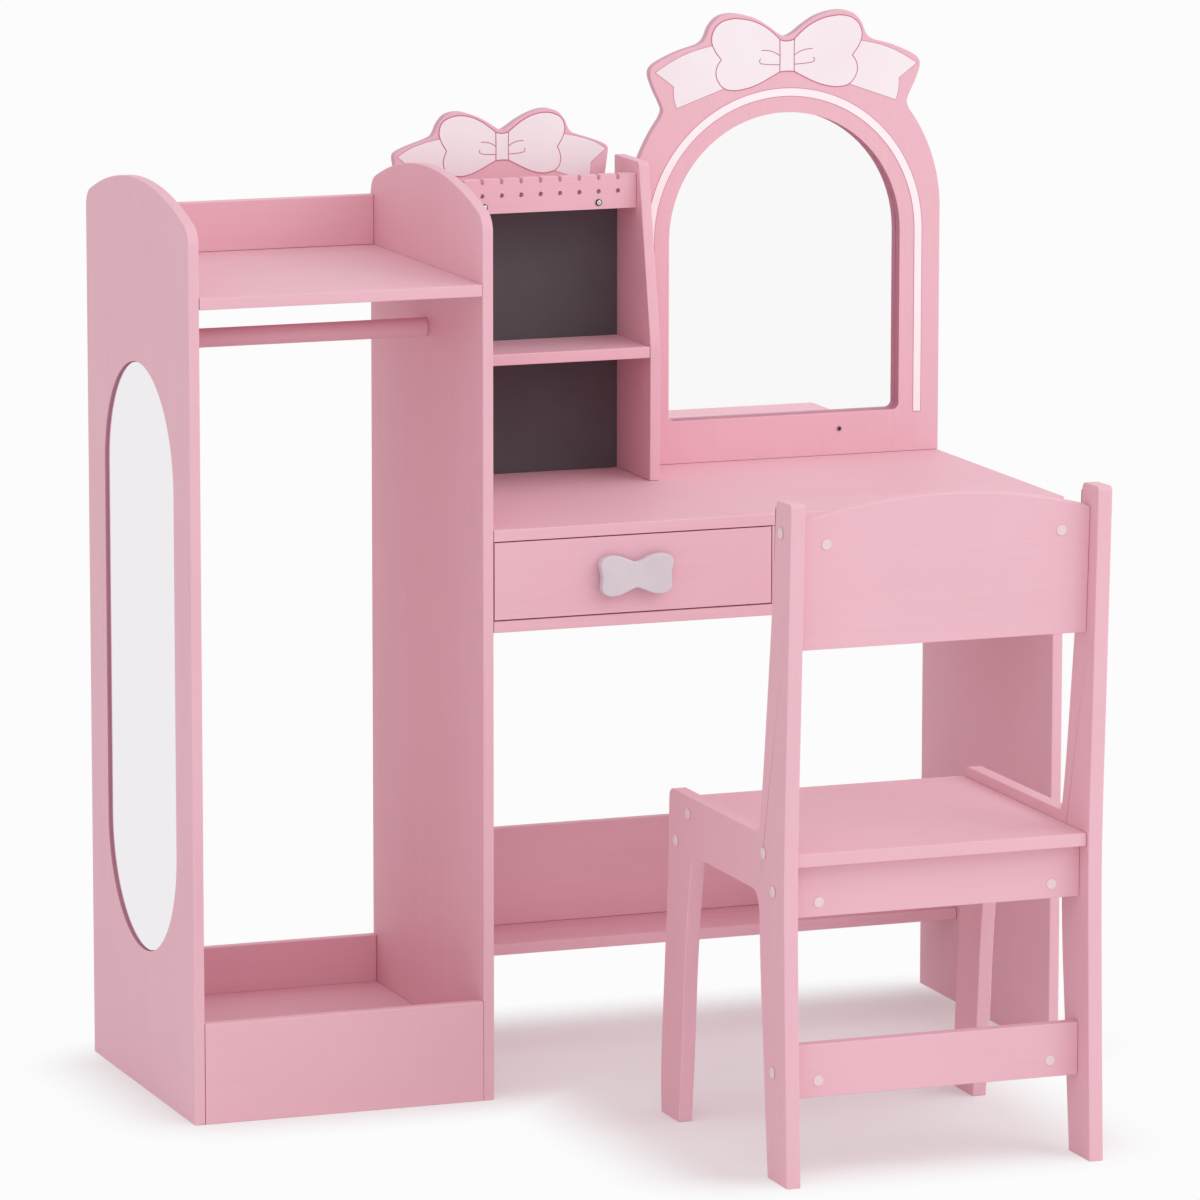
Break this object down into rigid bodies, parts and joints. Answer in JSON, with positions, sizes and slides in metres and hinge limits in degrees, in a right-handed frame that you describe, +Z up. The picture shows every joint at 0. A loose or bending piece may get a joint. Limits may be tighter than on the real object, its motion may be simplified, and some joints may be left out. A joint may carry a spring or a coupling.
{
  "type": "kids vanity table",
  "caption": "Pink child's vanity set: open wardrobe with hanging rod and side mirror, desk with drawers, jewellery tower, arched mirror board with bow top, and a chair.",
  "frame": {"origin": "on the floor, under the middle of the bounding box of the whole set with its chair in its place", "axes": "+X to the right as one faces the mirrors, +Y to the back, +Z up"},
  "size_m": [0.8, 0.6798, 0.8998],
  "materials": {
    "pink_paint": "satin pink paint over board, with small softened edges",
    "dark_panel": "matt dark grey brown panel",
    "mirror": "clear flat mirror",
    "mirror_backing": "plain brown hardboard",
    "knob": "pale grey lilac, satin",
    "screw_cap": "pale pink cap over a screw",
    "screw_steel": "bright zinc"
  },
  "bodies": {
    "vanity": {"wardrobe_left_side": "pink_paint", "wardrobe_right_side": "pink_paint", "wardrobe_shelf": "pink_paint", "wardrobe_back_rail": "pink_paint", "hanging_rod": "pink_paint", "bin_front": "pink_paint", "bin_floor": "pink_paint", "bin_back": "pink_paint", "side_mirror": "mirror", "desk_top": "pink_paint", "desk_right_side": "pink_paint", "drawer_housing_floor": "pink_paint", "drawer_divider": "pink_paint", "desk_rear_apron": "pink_paint", "low_shelf": "pink_paint", "low_shelf_back": "pink_paint", "tower_side": "pink_paint", "tower_header": "pink_paint", "chalkboard_panel": "dark_panel", "tower_shelf": "pink_paint", "tower_top_board": "pink_paint", "jewellery_rail": "pink_paint", "rail_screw_left": "screw_steel", "rail_screw_right": "screw_steel", "mirror_board": "pink_paint", "mirror_glass": "mirror", "mirror_backing": "mirror_backing", "mirror_board_screw": "screw_steel"},
    "drawer_left": {"drawer_left_front": "pink_paint", "drawer_left_left_wall": "pink_paint", "drawer_left_right_wall": "pink_paint", "drawer_left_rear_wall": "pink_paint", "drawer_left_bottom": "pink_paint", "drawer_left_knob": "knob"},
    "drawer_right": {"drawer_right_front": "pink_paint", "drawer_right_left_wall": "pink_paint", "drawer_right_right_wall": "pink_paint", "drawer_right_rear_wall": "pink_paint", "drawer_right_bottom": "pink_paint", "drawer_right_knob": "knob"},
    "chair": {"chair_left_side": "pink_paint", "chair_right_side": "pink_paint", "chair_seat": "pink_paint", "chair_backrest": "pink_paint", "chair_rear_apron": "pink_paint", "chair_front_apron": "pink_paint", "chair_stretcher": "pink_paint", "chair_left_screw_seat_rear": "screw_cap", "chair_left_screw_seat_front": "screw_cap", "chair_left_screw_rear_apron": "screw_cap", "chair_left_screw_front_apron": "screw_cap", "chair_left_screw_stretcher": "screw_cap", "chair_left_screw_backrest": "screw_cap", "chair_right_screw_seat_rear": "screw_cap", "chair_right_screw_seat_front": "screw_cap", "chair_right_screw_rear_apron": "screw_cap", "chair_right_screw_front_apron": "screw_cap", "chair_right_screw_stretcher": "screw_cap", "chair_right_screw_backrest": "screw_cap"}
  },
  "joints": [
    {"name": "drawer_left_slide", "type": "slide", "parent": "vanity", "child": "drawer_left", "axis": [0, -1, 0], "range_m": [0, 0.18]},
    {"name": "drawer_right_slide", "type": "slide", "parent": "vanity", "child": "drawer_right", "axis": [0, -1, 0], "range_m": [0, 0.18]},
    {"name": "chair_slide", "type": "slide", "parent": "vanity", "child": "chair", "axis": [0, 1, 0], "range_m": [-0.2, 0.12]}
  ]
}
